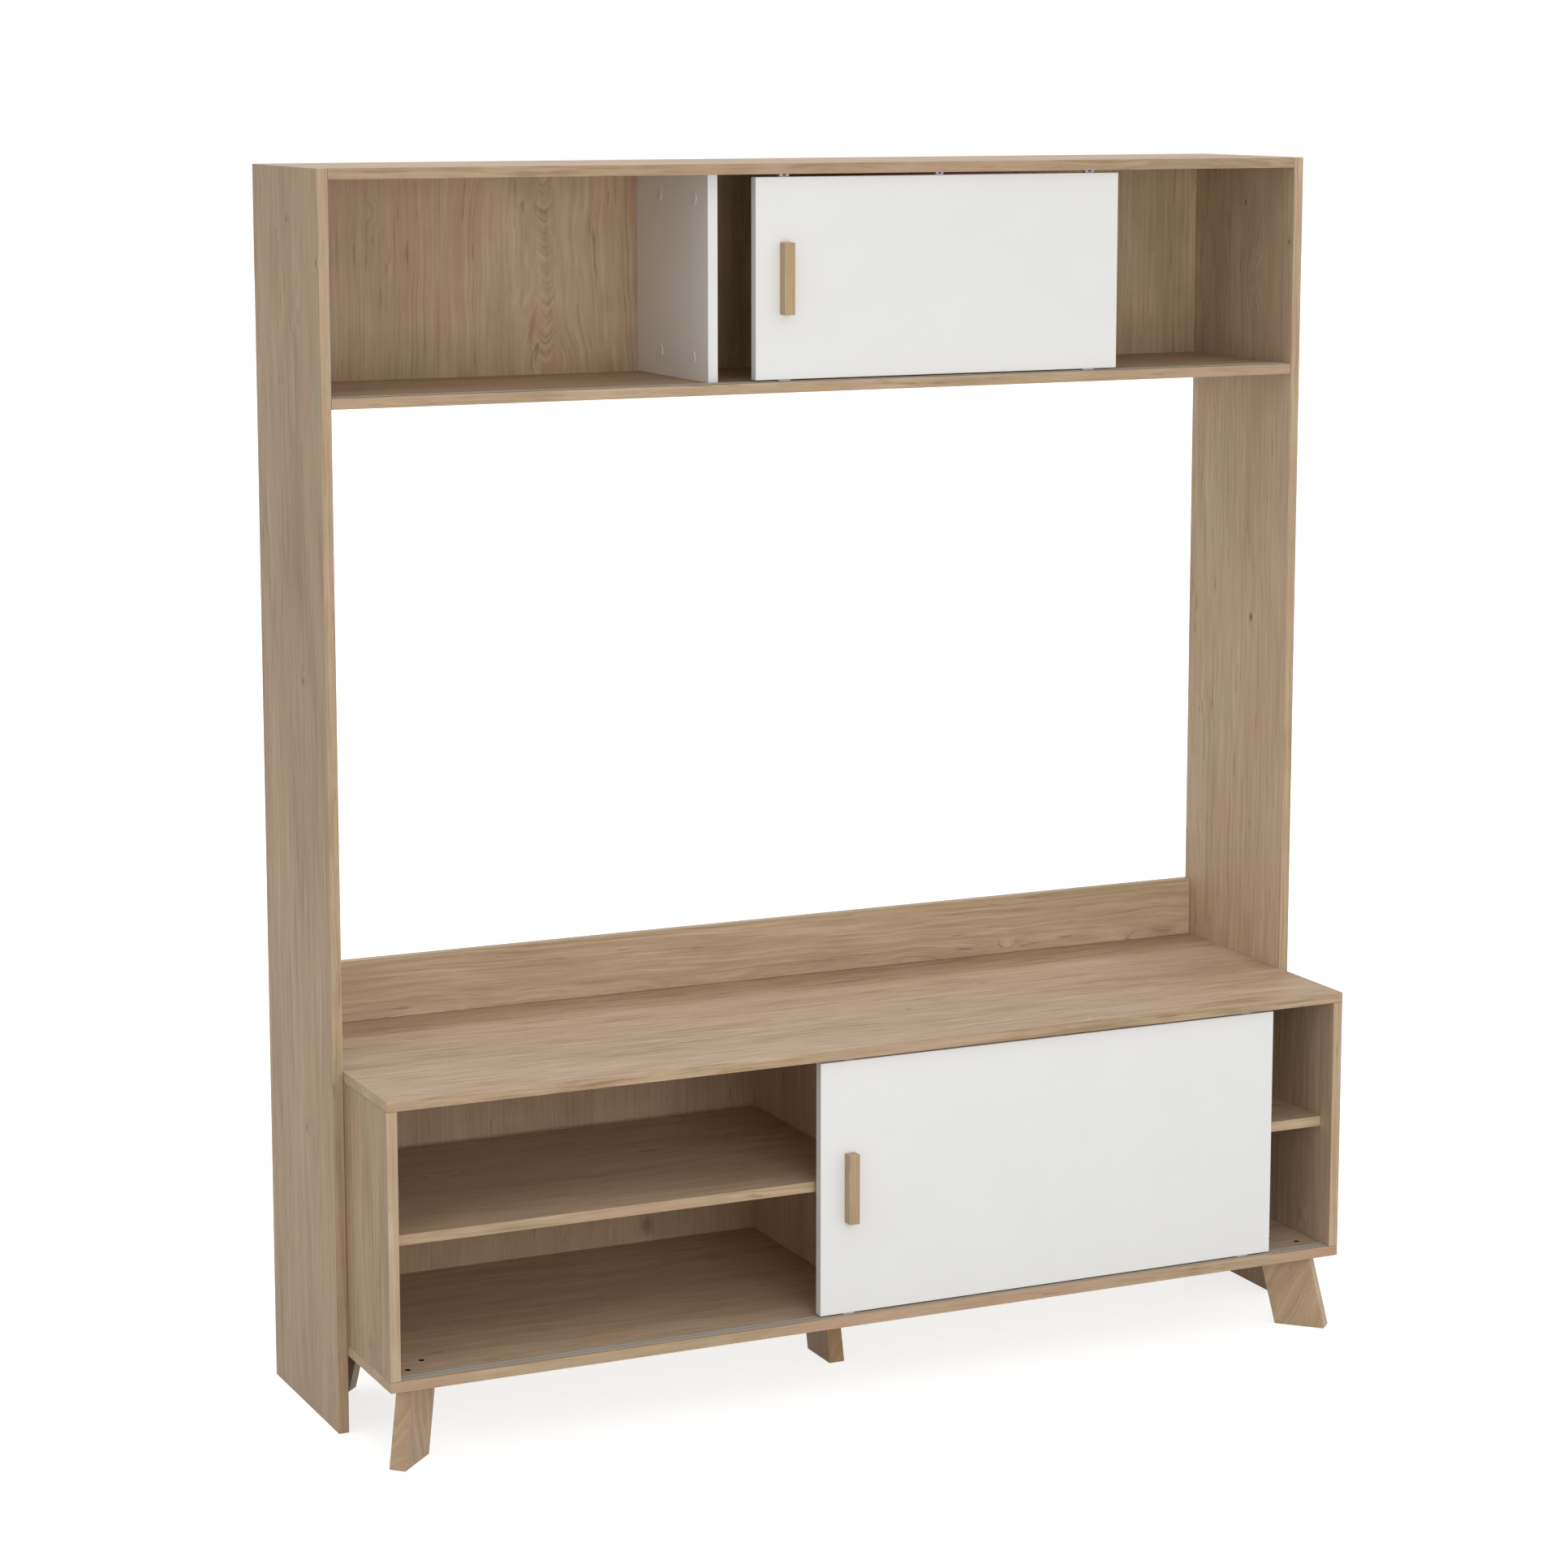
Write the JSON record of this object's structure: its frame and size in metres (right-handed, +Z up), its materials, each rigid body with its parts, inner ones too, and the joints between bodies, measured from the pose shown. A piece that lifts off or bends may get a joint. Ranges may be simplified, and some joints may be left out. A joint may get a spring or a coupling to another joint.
{
  "type": "tv cabinet",
  "caption": "Tall tv cabinet: low bench with a sliding door on splayed board legs, an open niche for the television, and an upper row with a second sliding door.",
  "frame": {"origin": "on the floor, under the middle of the overall width and depth", "axes": "+X to the right seen from the front, +Y to the back (the wall), +Z up"},
  "size_m": [1.58, 0.4848, 1.8],
  "materials": {
    "hickory_decor": "particle board with a matt hickory-like decor and thin edge bands",
    "back_decor": "thin fibre board with the same decor",
    "white_board": "particle board with a matt white melamine face",
    "track_plastic": "extruded grey plastic",
    "glide_plastic": "moulded pale plastic",
    "handle_wood": "satin",
    "leg_wood": "matt decor on board",
    "screw_steel": "zinc plated"
  },
  "bodies": {
    "cabinet": {"left_upright": "hickory_decor", "right_upright": "hickory_decor", "upper_top_panel": "hickory_decor", "upper_shelf": "hickory_decor", "upper_divider": "white_board", "upper_back_panel": "back_decor", "back_rail": "hickory_decor", "bench_top": "hickory_decor", "bench_bottom": "hickory_decor", "bench_left_side": "hickory_decor", "bench_right_side": "hickory_decor", "bench_divider": "hickory_decor", "shelf_left": "hickory_decor", "shelf_right": "hickory_decor", "bench_back_panel": "back_decor", "shelf_pin_left_outer_front": "screw_steel", "shelf_pin_left_outer_rear": "screw_steel", "shelf_pin_left_inner_front": "screw_steel", "shelf_pin_left_inner_rear": "screw_steel", "shelf_pin_right_inner_front": "screw_steel", "shelf_pin_right_inner_rear": "screw_steel", "shelf_pin_right_outer_front": "screw_steel", "shelf_pin_right_outer_rear": "screw_steel", "lower_track_bottom": "track_plastic", "lower_track_top": "track_plastic", "upper_track_bottom": "track_plastic", "upper_track_top": "track_plastic", "front_left_leg": "leg_wood", "front_right_leg": "leg_wood", "rear_left_leg": "leg_wood", "rear_right_leg": "leg_wood", "middle_leg": "leg_wood", "front_left_leg_screw_outer": "screw_steel", "front_left_leg_screw_inner": "screw_steel", "front_right_leg_screw_outer": "screw_steel", "front_right_leg_screw_inner": "screw_steel", "rear_left_leg_screw_outer": "screw_steel", "rear_left_leg_screw_inner": "screw_steel", "rear_right_leg_screw_outer": "screw_steel", "rear_right_leg_screw_inner": "screw_steel", "middle_leg_screw_outer": "screw_steel", "middle_leg_screw_inner": "screw_steel"},
    "lower_sliding_door": {"lower_door": "white_board", "lower_glide_top_left": "glide_plastic", "lower_glide_top_right": "glide_plastic", "lower_glide_bottom_left": "glide_plastic", "lower_glide_bottom_right": "glide_plastic", "lower_handle": "handle_wood", "lower_handle_screw_upper": "screw_steel", "lower_handle_screw_lower": "screw_steel"},
    "upper_sliding_door": {"upper_door": "white_board", "upper_glide_top_left": "glide_plastic", "upper_glide_top_middle": "glide_plastic", "upper_glide_top_right": "glide_plastic", "upper_glide_bottom_left": "glide_plastic", "upper_glide_bottom_right": "glide_plastic", "upper_handle": "handle_wood", "upper_handle_screw_upper": "screw_steel", "upper_handle_screw_lower": "screw_steel"}
  },
  "joints": [
    {"name": "lower_door_slide", "type": "slide", "parent": "cabinet", "child": "lower_sliding_door", "axis": [1, 0, 0], "range_m": [-0.647, 0.101]},
    {"name": "upper_door_slide", "type": "slide", "parent": "cabinet", "child": "upper_sliding_door", "axis": [1, 0, 0], "range_m": [-0.644, 0.302]}
  ]
}
